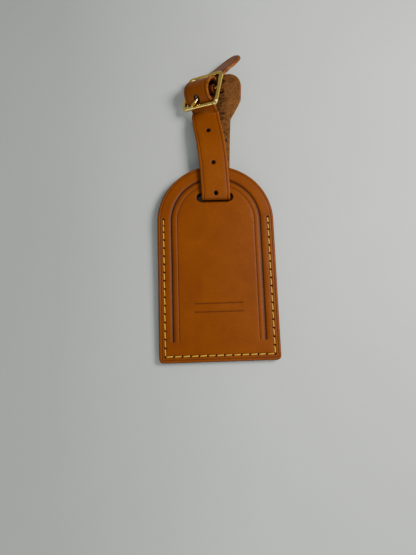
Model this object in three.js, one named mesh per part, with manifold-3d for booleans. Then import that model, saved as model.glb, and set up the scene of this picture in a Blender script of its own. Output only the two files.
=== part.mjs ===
// A leather luggage tag lying on its back, with its strap buckled.
// Units are millimetres and +Z is up. While the pieces are built, X = 0 is the
// tag's centre line, Y = 0 its bottom edge and Z = 0 the surface that it lies on.
// At the end the whole group is moved, so that the origin is the middle of the
// object's footprint.
import * as THREE from 'three';
import { mergeVertices } from 'three/addons/utils/BufferGeometryUtils.js';
import Module from 'manifold-3d';

// ---------------------------------------------------------------- driving dimensions

const GAP = 0.3; // left between pieces that touch on the real tag

// The tag: two leather panels sewn together along the sides and the bottom.
const TAG_WIDTH = 65;
const TAG_HEIGHT = 110;
const TAG_CORNER_RADIUS = 3;
const BACK_THICKNESS = 1.5;
const FRONT_THICKNESS = 1.8;
const TAG_TILT = THREE.MathUtils.degToRad(1.36); // its arch end rests on the strap

// The slot that the strap passes through.
const SLOT_WIDTH = 20.4;
const SLOT_HEIGHT = 4.6;
const SLOT_CENTRE_Y = 91.3;

// The address card, in a pocket skived into the front panel's flesh side.
const CARD_WIDTH = 50;
const CARD_HEIGHT = 76;
const CARD_THICKNESS = 0.3;
const CARD_CORNER_RADIUS = 2;
const CARD_BOTTOM_Y = 8;
const CARD_TRAVEL = 3;
const POCKET_DEPTH = CARD_THICKNESS + GAP;

// The seam: one waxed thread on each face, in a sewn channel.
const SEAM_INSET = 3.3;
const SEAM_TOP_Y = 80;
const THREAD_WIDTH = 0.8;
const THREAD_HEIGHT = 0.4;

// The strap.
const STRAP_WIDTH = 16;
const STRAP_THICKNESS = 1.8;
const STRAP_EDGE_CHAMFER = 0.35;
const STRAP_STEP = 1.6; // spacing of the cross-sections along the strap
const HOLE_DIAMETER = 2.2;
const SPARE_HOLES = [-0.5, 17.2, 36.9]; // along the strap, from where its bend is highest
const PRONG_HOLE_WIDTH = 4; // the hole in use is pulled open by the prong
const PRONG_HOLE_LENGTH = 5.2;
const PRONG_HOLE_OFFSET = -0.7; // sideways from the strap's middle line
const TIP_TAPER = 20;
const TIP_END_WIDTH = 3;

// The wide round-cornered pad at the other end of the strap, which backs the buckle.
const PAD_WIDTH = 27.2;
const PAD_CORNER_RADIUS = 9.5;
const PAD_STRAIGHT_END = 16; // from its end to where it starts to narrow
const PAD_FLARE_END = 26.5; // and to where it has narrowed to the strap's width
const SLIT_DISTANCES = [4.5, 10.5]; // of the chape's two slits, from the pad's end
const SLIT_WIDTH = 3.4;
const SLIT_OFFSET = -1.3; // sideways from the pad's middle line

// The bend of the strap round the land between the slot and the arch.
const BEND_CENTRE_X = 0.7;
const BEND_CENTRE_Y = 93.6;
const BEND_CENTRE_Z = 4;
const BEND_RADIUS = 3.1;

// The brass buckle: a rectangular frame with a centre bar, and a prong.
const FRAME_WIDTH = 24;
const FRAME_LENGTH = 22.5;
const FRAME_BAR = 2.2;
const FRAME_THICKNESS = 2;
const FRAME_CORNER_RADIUS = 3;
const CENTRE_BAR_RADIUS = 1;
const PRONG_WIDTH = 2;
const PRONG_THICKNESS = 1.3;
const PRONG_OFFSET = 1.2; // of its eye along the centre bar, from the bar's middle
const PRONG_SKEW = 0.46; // sideways per unit of length, because the eye is loose
const PRONG_EYE_WIDTH = 2.2;
const PRONG_EYE_WALL = 1;

// Where the buckle lies, and the directions across it, along it and out of its face.
const BUCKLE_CENTRE = new THREE.Vector3(-5.0, 153.8, 10.9);
const BUCKLE_ACROSS = new THREE.Vector3(0.832, -0.152, 0.533).normalize();
const BUCKLE_ALONG = new THREE.Vector3(0.214, 0.975, -0.056).projectOnPlane(BUCKLE_ACROSS).normalize();
const BUCKLE_OUT = BUCKLE_ACROSS.clone().cross(BUCKLE_ALONG);

// The chape: the leather band that ties the centre bar to the pad.
const CHAPE_WIDTH = 9.2;
const CHAPE_THICKNESS = 1.2;
const CHAPE_CHAMFER = 0.2;
const CHAPE_OFFSET = 3.4; // along the centre bar, from its middle
const CHAPE_SECTIONS = 44;

// ---------------------------------------------------------------- finishes

const FINISHES = {
  panel: { color: 0x9a5420, roughness: 0.55, metalness: 0 },
  strap: { color: 0x94501c, roughness: 0.55, metalness: 0 },
  chape: { color: 0x8a4a1c, roughness: 0.6, metalness: 0 },
  thread: { color: 0xc79a2e, roughness: 0.7, metalness: 0 },
  card: { color: 0xe8e2d2, roughness: 0.9, metalness: 0 },
  brass: { color: 0xc9a34a, roughness: 0.25, metalness: 1 },
};

function piece(name, geometry, finish) {
  const mesh = new THREE.Mesh(geometry, new THREE.MeshStandardMaterial(FINISHES[finish]));
  mesh.name = name;
  return mesh;
}

// ---------------------------------------------------------------- solids

const wasm = await Module();
wasm.setup();

// A closed geometry as a solid that can be cut or joined.
function toSolid(geometry) {
  const bare = geometry.clone();
  bare.deleteAttribute('normal');
  bare.deleteAttribute('uv');
  const merged = mergeVertices(bare, 1e-4);
  const corners = merged.index.array;
  const triangles = [];
  for (let i = 0; i < corners.length; i += 3) {
    const [a, b, c] = [corners[i], corners[i + 1], corners[i + 2]];
    if (a !== b && b !== c && c !== a) {
      triangles.push(a, b, c);
    }
  }
  return new wasm.Manifold(new wasm.Mesh({
    numProp: 3,
    vertProperties: new Float32Array(merged.attributes.position.array),
    triVerts: new Uint32Array(triangles),
  }));
}

function toGeometry(solid) {
  const mesh = solid.getMesh();
  const geometry = new THREE.BufferGeometry();
  geometry.setAttribute('position', new THREE.BufferAttribute(mesh.vertProperties, 3));
  geometry.setIndex(new THREE.BufferAttribute(mesh.triVerts, 1));
  geometry.computeVertexNormals();
  return geometry;
}

function extrude(shape, depth, curveSegments = 6) {
  return new THREE.ExtrudeGeometry(shape, { depth, curveSegments, bevelEnabled: false });
}

// A rectangle with round corners, centred on (x, y), as a Shape or a Path.
function roundedRectangle(Kind, x, y, width, height, radius) {
  const right = x + width / 2 - radius;
  const left = x - width / 2 + radius;
  const top = y + height / 2 - radius;
  const bottom = y - height / 2 + radius;
  const outline = new Kind();
  outline.absarc(right, bottom, radius, -Math.PI / 2, 0, false);
  outline.absarc(right, top, radius, 0, Math.PI / 2, false);
  outline.absarc(left, top, radius, Math.PI / 2, Math.PI, false);
  outline.absarc(left, bottom, radius, Math.PI, 1.5 * Math.PI, false);
  outline.closePath();
  return outline;
}

// A cutter with a round-ended outline, right through a sheet that lies on z = 0.
function punch(width, length, sheetThickness) {
  const radius = Math.min(width, length) / 2 - 0.01;
  const outline = roundedRectangle(THREE.Shape, 0, 0, width, length, radius);
  return extrude(outline, 3 * sheetThickness, 4).translate(0, 0, -1.5 * sheetThickness);
}

// ---------------------------------------------------------------- the tag

// The tag's outline: a rectangle under a full round arch, with the slot cut out.
function tagOutline() {
  const half = TAG_WIDTH / 2;
  const springLine = TAG_HEIGHT - half;
  const cornerX = half - TAG_CORNER_RADIUS;
  const outline = new THREE.Shape();
  outline.absarc(cornerX, TAG_CORNER_RADIUS, TAG_CORNER_RADIUS, -Math.PI / 2, 0, false);
  outline.absarc(0, springLine, half, 0, Math.PI / 2, false);
  outline.absarc(0, springLine, half, Math.PI / 2, Math.PI, false);
  outline.absarc(-cornerX, TAG_CORNER_RADIUS, TAG_CORNER_RADIUS, Math.PI, 1.5 * Math.PI, false);
  outline.closePath();
  const endRadius = SLOT_HEIGHT / 2 - 0.01;
  outline.holes.push(
    roundedRectangle(THREE.Path, 0, SLOT_CENTRE_Y, SLOT_WIDTH, SLOT_HEIGHT, endRadius));
  return outline;
}

// The seam's course, down one side, along the bottom and up the other, with a margin round it.
function seamOutline(margin) {
  const outer = TAG_WIDTH / 2 - SEAM_INSET + THREAD_WIDTH / 2 + margin;
  const inner = outer - THREAD_WIDTH - 2 * margin;
  const low = SEAM_INSET - THREAD_WIDTH / 2 - margin;
  const high = low + THREAD_WIDTH + 2 * margin;
  const top = SEAM_TOP_Y + margin;
  const band = new THREE.Shape();
  band.moveTo(-outer, low);
  band.lineTo(outer, low);
  band.lineTo(outer, top);
  band.lineTo(inner, top);
  band.lineTo(inner, high);
  band.lineTo(-inner, high);
  band.lineTo(-inner, top);
  band.lineTo(-outer, top);
  band.closePath();
  return band;
}

// The channel that a thread lies in, sunk into the face at height z from either side.
function seamChannel(z) {
  const depth = THREAD_HEIGHT + GAP;
  return toSolid(extrude(seamOutline(GAP), 2 * depth).translate(0, 0, z - depth));
}

function seamThread(name, z) {
  const thread = piece(name, extrude(seamOutline(0), THREAD_HEIGHT), 'thread');
  thread.position.z = z;
  return thread;
}

function backPanel() {
  const solid = toSolid(extrude(tagOutline(), BACK_THICKNESS)).subtract(seamChannel(0));
  return piece('back_panel', toGeometry(solid), 'panel');
}

function frontPanel() {
  const pocketWidth = CARD_WIDTH + 2 * GAP;
  const pocketHeight = CARD_HEIGHT + CARD_TRAVEL + 2 * GAP;
  const pocket = new THREE.BoxGeometry(pocketWidth, pocketHeight, 2 * POCKET_DEPTH);
  pocket.translate(0, CARD_BOTTOM_Y - GAP + pocketHeight / 2, 0);
  const solid = toSolid(extrude(tagOutline(), FRONT_THICKNESS))
    .subtract(toSolid(pocket))
    .subtract(seamChannel(FRONT_THICKNESS));
  const panel = piece('front_panel', toGeometry(solid), 'panel');
  panel.position.z = BACK_THICKNESS + GAP;
  return panel;
}

function idCard() {
  const middleY = CARD_BOTTOM_Y + CARD_HEIGHT / 2;
  const outline = roundedRectangle(
    THREE.Shape, 0, middleY, CARD_WIDTH, CARD_HEIGHT, CARD_CORNER_RADIUS);
  const card = piece('id_card', extrude(outline, CARD_THICKNESS, 2), 'card');
  card.position.z = BACK_THICKNESS + GAP;
  return card;
}

function tag() {
  const frontFace = BACK_THICKNESS + GAP + FRONT_THICKNESS;
  const group = new THREE.Group();
  group.add(backPanel());
  group.add(frontPanel());
  group.add(idCard());
  group.add(seamThread('bobbin_thread', 0));
  group.add(seamThread('needle_thread', frontFace - THREAD_HEIGHT));
  group.rotation.x = TAG_TILT;
  return group;
}

// ---------------------------------------------------------------- swept strips

// A direction across a strip, leaning up to the right by an angle in degrees.
function leaning(degrees) {
  const angle = THREE.MathUtils.degToRad(degrees);
  return new THREE.Vector3(Math.cos(angle), 0, Math.sin(angle));
}

// One cross-section of a strip: where it is, and the directions across, along and out of it.
function section(point, along, across, width) {
  const sideways = across.clone().projectOnPlane(along).normalize();
  return { point, across: sideways, along, out: sideways.clone().cross(along), width };
}

// The placement of a shape that is drawn flat on a strip, at one of its cross-sections.
function placedOn({ point, across, along, out }) {
  return new THREE.Matrix4().makeBasis(across, along, out).setPosition(point);
}

// A strip through its cross-sections, each a rectangle with chamfered corners.
function sweepStrip(sections, thickness, chamfer, closed = false) {
  const corners = 8;
  const positions = [];
  for (const { point, across, out, width } of sections) {
    const x = width / 2;
    const y = thickness / 2;
    const ring = [
      [x, -y + chamfer], [x, y - chamfer], [x - chamfer, y], [-x + chamfer, y],
      [-x, y - chamfer], [-x, -y + chamfer], [-x + chamfer, -y], [x - chamfer, -y],
    ];
    for (const [sideways, up] of ring) {
      const corner = point.clone().addScaledVector(across, sideways).addScaledVector(out, up);
      positions.push(corner.x, corner.y, corner.z);
    }
  }
  const indices = [];
  const spans = closed ? sections.length : sections.length - 1;
  for (let i = 0; i < spans; i += 1) {
    const here = i * corners;
    const next = ((i + 1) % sections.length) * corners;
    for (let k = 0; k < corners; k += 1) {
      const after = (k + 1) % corners;
      indices.push(here + k, next + k, next + after);
      indices.push(here + k, next + after, here + after);
    }
  }
  if (!closed) {
    const last = (sections.length - 1) * corners;
    for (let k = 1; k < corners - 1; k += 1) {
      indices.push(0, k, k + 1);
      indices.push(last, last + k + 1, last + k);
    }
  }
  const geometry = new THREE.BufferGeometry();
  geometry.setAttribute('position', new THREE.Float32BufferAttribute(positions, 3));
  geometry.setIndex(indices);
  return geometry;
}

// ---------------------------------------------------------------- the strap

// A place beside the buckle's middle: across it, along it, and up out of its face.
function atBuckle(across, along, out) {
  return BUCKLE_CENTRE.clone()
    .addScaledVector(BUCKLE_ACROSS, across)
    .addScaledVector(BUCKLE_ALONG, along)
    .addScaledVector(BUCKLE_OUT, out);
}

// A place on the prong's middle line, at a distance along the buckle and out of its face.
function prongPoint(along, out) {
  return atBuckle(PRONG_OFFSET + PRONG_SKEW * along, along, out);
}

// The strap's middle line from the pad's end to the tip, with its direction across at each place.
function strapRoute() {
  const route = [];
  const at = (x, y, z, lean) => {
    route.push({ point: new THREE.Vector3(x, y, z), across: leaning(lean) });
  };
  const through = (across, along, out) => {
    route.push({ point: atBuckle(across, along, out), across: BUCKLE_ACROSS });
  };
  // the pad, which leans with the buckle, and the back arm under the tag's arch
  at(5.6, 167, 6.2, 21);
  at(5.1, 161, 6.05, 21);
  at(4.6, 155.5, 5.6, 20);
  at(4.0, 150, 4.8, 15);
  at(3.3, 142.5, 3.0, 8);
  at(2.6, 133, 1.3, 1);
  at(1.9, 120, STRAP_THICKNESS / 2, 0);
  at(1.2, 106, STRAP_THICKNESS / 2, 0);
  at(BEND_CENTRE_X, 97, STRAP_THICKNESS / 2, 0);
  // the bend, up through the slot
  for (let turn = 0; turn <= 180; turn += 30) {
    const angle = THREE.MathUtils.degToRad(turn);
    const y = BEND_CENTRE_Y - BEND_RADIUS * Math.sin(angle);
    const z = BEND_CENTRE_Z - BEND_RADIUS * Math.cos(angle);
    at(BEND_CENTRE_X, y, z, 0);
  }
  // the front arm
  at(0.4, 100, 7.6, 0);
  at(0, 109, 8.2, 0);
  at(-0.8, 119, 8.65, 1);
  at(-2.1, 129, 8.5, 4);
  at(-3.3, 136, 7.95, 8);
  at(-3.8, 140.6, 7.5, 14);
  // under the buckle's near bar, over its centre bar and under its far bar
  through(1.0, -9.8, -3.7);
  through(0.4, -8.3, -2.2);
  through(-0.3, -7.2, -0.3);
  through(-0.9, -5.8, 1.9);
  through(-1.3, -2.6, 4.3);
  through(-1.4, 1.5, 4.7);
  through(-0.9, 5.2, 3.0);
  through(-0.2, 6.9, 0.5);
  through(0.4, 7.3, -1.3);
  through(1.0, 8.5, -2.8);
  through(1.8, 10.6, -3.1);
  // the free tip
  at(4.9, 167.7, 8.7, 36);
  at(11, 173, 8.7, 34);
  at(17.2, 178, 9.2, 32);
  return route;
}

const strapPlaces = strapRoute();
const strapLine = new THREE.CatmullRomCurve3(strapPlaces.map(({ point }) => point));
strapLine.arcLengthDivisions = 800;
const strapDirections = new THREE.CatmullRomCurve3(
  strapPlaces.map(({ across }) => across), false, 'catmullrom');
const strapLength = strapLine.getLength();

// The strap's width at a distance along it from the pad's end.
function strapWidth(distance) {
  if (distance < PAD_CORNER_RADIUS) {
    const inset = PAD_CORNER_RADIUS - distance;
    const bulge = Math.sqrt(PAD_CORNER_RADIUS ** 2 - inset ** 2);
    return PAD_WIDTH - 2 * (PAD_CORNER_RADIUS - bulge);
  }
  if (distance < PAD_STRAIGHT_END) {
    return PAD_WIDTH;
  }
  if (distance < PAD_FLARE_END) {
    const share = (distance - PAD_STRAIGHT_END) / (PAD_FLARE_END - PAD_STRAIGHT_END);
    return THREE.MathUtils.lerp(PAD_WIDTH, STRAP_WIDTH, share);
  }
  const fromTip = strapLength - distance;
  if (fromTip < TIP_TAPER) {
    const share = fromTip / TIP_TAPER;
    return THREE.MathUtils.lerp(TIP_END_WIDTH, STRAP_WIDTH, Math.sqrt(share * (2 - share)));
  }
  return STRAP_WIDTH;
}

// The strap's cross-section at a distance along it from the pad's end.
function strapSection(distance) {
  const share = distance / strapLength;
  const point = strapLine.getPointAt(share);
  const along = strapLine.getTangentAt(share);
  const across = strapDirections.getPoint(strapLine.getUtoTmapping(share));
  return section(point, along, across, strapWidth(distance));
}

// The distance along the strap of its middle line's nearest place to a point.
function strapDistanceTo(target) {
  let nearest = 0;
  for (let distance = 0; distance < strapLength; distance += 0.1) {
    const there = strapLine.getPointAt(distance / strapLength).distanceTo(target);
    if (there < strapLine.getPointAt(nearest / strapLength).distanceTo(target)) {
      nearest = distance;
    }
  }
  return nearest;
}

// A cutter through the strap, placed at a distance along it and shifted sideways.
function strapPunch(distance, width, length, offset = 0) {
  const cutter = punch(width, length, STRAP_THICKNESS).translate(offset, 0, 0);
  return toSolid(cutter.applyMatrix4(placedOn(strapSection(distance))));
}

function strap() {
  // closer cross-sections where the round corners of the pad and the tip need them
  const distances = [0, 0.3, 1, 2.2, 3.8];
  const tipDistances = [2.4, 1.2, 0.4, 0].map((fromTip) => strapLength - fromTip);
  const steps = Math.round((tipDistances[0] - 5.4) / STRAP_STEP);
  for (let i = 0; i < steps; i += 1) {
    distances.push(THREE.MathUtils.lerp(5.4, tipDistances[0], i / steps));
  }
  distances.push(...tipDistances);
  let solid = toSolid(sweepStrip(distances.map(strapSection), STRAP_THICKNESS, STRAP_EDGE_CHAMFER));

  const prongHole = strapDistanceTo(prongPoint(-6, 1.75));
  solid = solid.subtract(
    strapPunch(prongHole, PRONG_HOLE_WIDTH, PRONG_HOLE_LENGTH, PRONG_HOLE_OFFSET));
  const bendTop = new THREE.Vector3(BEND_CENTRE_X, BEND_CENTRE_Y, BEND_CENTRE_Z + BEND_RADIUS);
  const bendTopDistance = strapDistanceTo(bendTop);
  for (const distance of SPARE_HOLES) {
    const hole = strapPunch(bendTopDistance + distance, HOLE_DIAMETER, HOLE_DIAMETER);
    solid = solid.subtract(hole);
  }
  for (const distance of SLIT_DISTANCES) {
    solid = solid.subtract(strapPunch(distance, CHAPE_WIDTH + 4 * GAP, SLIT_WIDTH, SLIT_OFFSET));
  }
  return piece('strap', toGeometry(solid), 'strap');
}

// ---------------------------------------------------------------- the chape

// A place at one of the pad's slits: above the pad is positive, below it negative.
function atPad(distance, above) {
  const { point, across, out } = strapSection(distance);
  return point.clone().addScaledVector(across, SLIT_OFFSET).addScaledVector(out, -above);
}

// The band rises through the far slit, wraps the centre bar, returns through the near slit
// and closes under the pad. Its width turns from the pad's direction to the bar's.
function chape() {
  const [far, near] = SLIT_DISTANCES;
  const wrap = CENTRE_BAR_RADIUS + GAP + CHAPE_THICKNESS / 2;
  const under = -STRAP_THICKNESS / 2 - GAP - CHAPE_THICKNESS / 2;
  const padAcross = strapSection((far + near) / 2).across;
  const places = [
    { point: atPad(far, -1), turned: 0 },
    { point: atPad(far, 0.6), turned: 0 },
    { point: atBuckle(CHAPE_OFFSET, 6.6, -4.4), turned: 0.5 },
    { point: atBuckle(CHAPE_OFFSET, 2.9, -1.2), turned: 0.9 },
    { point: atBuckle(CHAPE_OFFSET, 0.75 * wrap, 0.7 * wrap), turned: 1 },
    { point: atBuckle(CHAPE_OFFSET, 0, wrap), turned: 1 },
    { point: atBuckle(CHAPE_OFFSET, -0.75 * wrap, 0.7 * wrap), turned: 1 },
    { point: atBuckle(CHAPE_OFFSET, -wrap, 0), turned: 1 },
    { point: atBuckle(CHAPE_OFFSET, -0.7 * wrap, -0.75 * wrap), turned: 1 },
    { point: atPad(near, 1.4), turned: 0 },
    { point: atPad(near, 0.2), turned: 0 },
    { point: atPad(near, -1), turned: 0 },
    { point: atPad(near - 1, under), turned: 0 },
    { point: atPad(far + 1, under), turned: 0 },
  ];
  const line = new THREE.CatmullRomCurve3(places.map(({ point }) => point), true);
  const turns = new THREE.CatmullRomCurve3(
    places.map(({ turned }) => new THREE.Vector3(turned, 0, 0)), true, 'catmullrom');
  const sections = [];
  for (let i = 0; i < CHAPE_SECTIONS; i += 1) {
    const share = i / CHAPE_SECTIONS;
    const turned = turns.getPoint(line.getUtoTmapping(share)).x;
    const across = padAcross.clone().lerp(BUCKLE_ACROSS, turned);
    sections.push(section(line.getPointAt(share), line.getTangentAt(share), across, CHAPE_WIDTH));
  }
  const band = toSolid(sweepStrip(sections, CHAPE_THICKNESS, CHAPE_CHAMFER, true));
  const notch = new THREE.BoxGeometry(PRONG_EYE_WIDTH + 6 * GAP, 7, 8);
  notch.translate(PRONG_OFFSET - 2 * GAP, -1, 0.6);
  notch.applyMatrix4(placedOn({
    point: BUCKLE_CENTRE, across: BUCKLE_ACROSS, along: BUCKLE_ALONG, out: BUCKLE_OUT,
  }));
  return piece('buckle_chape', toGeometry(band.subtract(toSolid(notch))), 'chape');
}

// ---------------------------------------------------------------- the buckle

// The frame and its centre bar are one casting, drawn round the middle of the bar.
function buckleFrame() {
  const outline = roundedRectangle(
    THREE.Shape, 0, 0, FRAME_WIDTH, FRAME_LENGTH, FRAME_CORNER_RADIUS);
  const innerWidth = FRAME_WIDTH - 2 * FRAME_BAR;
  const innerLength = FRAME_LENGTH - 2 * FRAME_BAR;
  const innerRadius = FRAME_CORNER_RADIUS - FRAME_BAR / 2;
  outline.holes.push(roundedRectangle(THREE.Path, 0, 0, innerWidth, innerLength, innerRadius));
  const rim = extrude(outline, FRAME_THICKNESS, 4).translate(0, 0, -FRAME_THICKNESS / 2);
  const bar = new THREE.CylinderGeometry(
    CENTRE_BAR_RADIUS, CENTRE_BAR_RADIUS, FRAME_WIDTH - FRAME_BAR, 16);
  bar.rotateZ(Math.PI / 2);
  return piece('buckle_frame', toGeometry(toSolid(rim).add(toSolid(bar))), 'brass');
}

// The prong's eye turns on the centre bar, and its tip rests on the frame's near bar.
function buckleProng() {
  const bore = CENTRE_BAR_RADIUS + GAP;
  const ring = new THREE.Shape();
  ring.absarc(0, 0, bore + PRONG_EYE_WALL, 0, 2 * Math.PI, false);
  const hole = new THREE.Path();
  hole.absarc(0, 0, bore, 0, 2 * Math.PI, false);
  ring.holes.push(hole);
  const eye = extrude(ring, PRONG_EYE_WIDTH, 12).translate(0, 0, -PRONG_EYE_WIDTH / 2);
  eye.rotateY(Math.PI / 2).translate(PRONG_OFFSET, 0, 0);

  const onBar = FRAME_THICKNESS / 2 + GAP + PRONG_THICKNESS / 2;
  const shank = [
    { y: -bore - 0.3, z: 0.9, width: PRONG_WIDTH },
    { y: -4.5, z: 1.4, width: PRONG_WIDTH },
    { y: -8, z: onBar - 0.1, width: PRONG_WIDTH },
    { y: -FRAME_LENGTH / 2 + FRAME_BAR, z: onBar, width: PRONG_WIDTH },
    { y: -FRAME_LENGTH / 2 + 0.2, z: onBar - 0.05, width: 0.7 * PRONG_WIDTH },
  ];
  const line = new THREE.CatmullRomCurve3(
    shank.map(({ y, z }) => new THREE.Vector3(PRONG_OFFSET + PRONG_SKEW * y, y, z)));
  const across = new THREE.Vector3(1, 0, 0);
  const sections = shank.map(({ width }, i) => {
    const share = i / (shank.length - 1);
    return section(line.getPoint(share), line.getTangent(share), across, width);
  });
  const rod = sweepStrip(sections, PRONG_THICKNESS, 0.35);
  return piece('buckle_prong', toGeometry(toSolid(eye).add(toSolid(rod))), 'brass');
}

function buckle() {
  const group = new THREE.Group();
  group.add(buckleFrame());
  group.add(buckleProng());
  const basis = new THREE.Matrix4().makeBasis(BUCKLE_ACROSS, BUCKLE_ALONG, BUCKLE_OUT);
  group.quaternion.setFromRotationMatrix(basis);
  group.position.copy(BUCKLE_CENTRE);
  return group;
}

// ---------------------------------------------------------------- the whole tag

const luggageTag = new THREE.Group();
luggageTag.add(tag());
luggageTag.add(strap());
luggageTag.add(chape());
luggageTag.add(buckle());

luggageTag.updateMatrixWorld(true);
const extent = new THREE.Box3().setFromObject(luggageTag, true);
const middle = extent.getCenter(new THREE.Vector3());
luggageTag.position.set(-middle.x, -middle.y, -extent.min.z);

export default luggageTag;
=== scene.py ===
"""The looks of a leather luggage tag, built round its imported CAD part.

Pieces are drawn in millimetres in the tag's own directions (X = 0 is its centre line, Y = 0 its
bottom edge, Z = 0 the table) and then moved into the part's frame, in metres.
"""
import math

import bpy
import numpy as np
from mathutils import Matrix, Vector
from mathutils.geometry import delaunay_2d_cdt


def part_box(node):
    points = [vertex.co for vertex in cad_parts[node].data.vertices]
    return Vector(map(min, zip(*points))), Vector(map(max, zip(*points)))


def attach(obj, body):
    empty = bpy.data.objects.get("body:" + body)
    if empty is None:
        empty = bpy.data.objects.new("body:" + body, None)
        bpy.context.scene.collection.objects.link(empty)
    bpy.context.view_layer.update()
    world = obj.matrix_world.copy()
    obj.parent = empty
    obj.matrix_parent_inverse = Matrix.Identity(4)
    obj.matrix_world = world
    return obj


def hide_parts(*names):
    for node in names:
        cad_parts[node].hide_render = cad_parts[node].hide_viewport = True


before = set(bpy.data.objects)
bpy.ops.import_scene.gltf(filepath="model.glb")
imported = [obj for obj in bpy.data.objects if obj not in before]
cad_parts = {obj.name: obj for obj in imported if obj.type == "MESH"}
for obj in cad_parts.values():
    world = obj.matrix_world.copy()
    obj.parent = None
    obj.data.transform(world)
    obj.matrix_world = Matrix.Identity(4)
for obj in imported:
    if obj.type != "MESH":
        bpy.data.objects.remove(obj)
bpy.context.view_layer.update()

# ---------------------------------------------------------------- sizes, in millimetres

MM = 0.001

TAG_HALF_WIDTH = 32.5
SPRING_LINE = 77.5  # where the straight sides meet the arch
CORNER_RADIUS = 2.2
TAG_TILT = math.radians(1.36)
JOIN_Z = 1.65  # where the two panels meet
TAG_FRONT_Z = 3.6
BACK_THICKNESS = 1.5

SLOT_CENTRE_Y = 91.3
SLOT_HALF_WIDTH = 10.2
SLOT_RADIUS = 2.3

EDGE_CREASE = 1.5  # inset of the fine line round the edge
BORDER_GROOVES = ((7.6, 0.5, 0.62), (8.6, 0.14, 0.3), (10.9, 0.22, 0.3))  # inset, depth, half width
BORDER_END_Y = 10.6
RULES = ((31.2, 13.5), (26.6, 13.5))  # height and half length of the two plain rules
RULE_HALF_WIDTH = 0.32

SEAM_INSET = 3.3
SEAM_TOP_Y = 79
SHORT_STITCHES = (3.6, 3.6)  # the two at the top of each side
SIDE_STITCHES = 15
BOTTOM_STITCHES = 13
THREAD_RADIUS = 0.29
STITCH_TAPER = np.array([0.7, 0.85, 0.95, 1, 1, 1, 0.95, 0.85, 0.7])  # share of the radius

POCKET_HALF_WIDTH = 25.4
POCKET_LOW_Y = 7.6
POCKET_HIGH_Y = 87.5
POCKET_DEPTH = 0.85

STRAP_WIDTH = 16
STRAP_THICKNESS = 1.8
PAD_WIDTH = 27.2
PAD_CORNER_RADIUS = 9.5
PAD_STRAIGHT_END = 16
PAD_FLARE_END = 26.5
TIP_TAPER = 20
TIP_END_WIDTH = 3
TIP_ROUNDING = 1.2
STRAP_CREASE = 1.45
HOLE_RADIUS = 1.1
SPARE_HOLES = (-0.5, 17.2, 36.9)  # along the strap, from where its bend is highest
PRONG_HOLE = (3.2, 4.4)  # width and length
PRONG_HOLE_OFFSET = -0.4
SLIT_DISTANCES = (4.5, 10.5)
SLIT_SIZE = (9.6, 2.2)
SLIT_OFFSET = -1.3
PAD_MARK = (4.6, 7.4)  # a round dent in the pad, along and across the strap
PAD_MARK_RADIUS = 1.2
PAD_MARK_LINE = 0.25  # half width of the dent's ring
PAD_MARK_DEPTH = 0.12
WRINKLE_DEPTH = 0.07
WRINKLE_END = 26  # along the strap; they fade out over the stretch before it
WRINKLE_FADE = 6
FLESH_ROUGHNESS = 0.05
STRAP_CREASE_DEPTH = 0.13
BEND_CENTRE = (0.7, 93.6, 4.0)
BEND_RADIUS = 3.1

CHAPE_WIDTH = 9.2
CHAPE_THICKNESS = 1.2
CHAPE_OFFSET = 3.4
GAP = 0.3

FRAME_WIDTH = 24
FRAME_LENGTH = 22.5
FRAME_BAR = 2.2
FRAME_THICKNESS = 2
FRAME_CORNER_RADIUS = 3
FRAME_SQUARENESS = 3.4  # how square the bars' section is
CENTRE_BAR_RADIUS = 1
PRONG_WIDTH = 2.1
PRONG_THICKNESS = 1.35
PRONG_OFFSET = 1.2
PRONG_SKEW = 0.46
PRONG_EYE_WALL = 1
PRONG_EYE_WIDTH = 2.2

BUCKLE_CENTRE = np.array([-5.0, 153.8, 10.9])
BUCKLE_ACROSS = np.array([0.832, -0.152, 0.533])
BUCKLE_ACROSS /= np.linalg.norm(BUCKLE_ACROSS)
BUCKLE_ALONG = np.array([0.214, 0.975, -0.056])
BUCKLE_ALONG -= BUCKLE_ACROSS * (BUCKLE_ALONG @ BUCKLE_ACROSS)
BUCKLE_ALONG /= np.linalg.norm(BUCKLE_ALONG)
BUCKLE_OUT = np.cross(BUCKLE_ACROSS, BUCKLE_ALONG)

# ---------------------------------------------------------------- the part's frame

panel_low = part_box("back_panel")[0]
ORIGIN = np.array([0, panel_low.y / MM + BACK_THICKNESS * math.sin(TAG_TILT), panel_low.z / MM])


def to_frame(points):
    """Places in the tag's own directions, in millimetres, as places in the part's frame."""
    return (np.asarray(points, float) + ORIGIN) * MM


def on_tag(x, y, z):
    """Places on the tilted tag, from its flat drawing."""
    sine, cosine = math.sin(TAG_TILT), math.cos(TAG_TILT)
    return np.stack([x, y * cosine - z * sine, y * sine + z * cosine], axis=-1)


def at_buckle(across, along, out):
    """A place beside the buckle's middle: across it, along it and up out of its face."""
    return BUCKLE_CENTRE + across * BUCKLE_ACROSS + along * BUCKLE_ALONG + out * BUCKLE_OUT


# ---------------------------------------------------------------- curves

SAMPLES_PER_SPAN = 48


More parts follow.
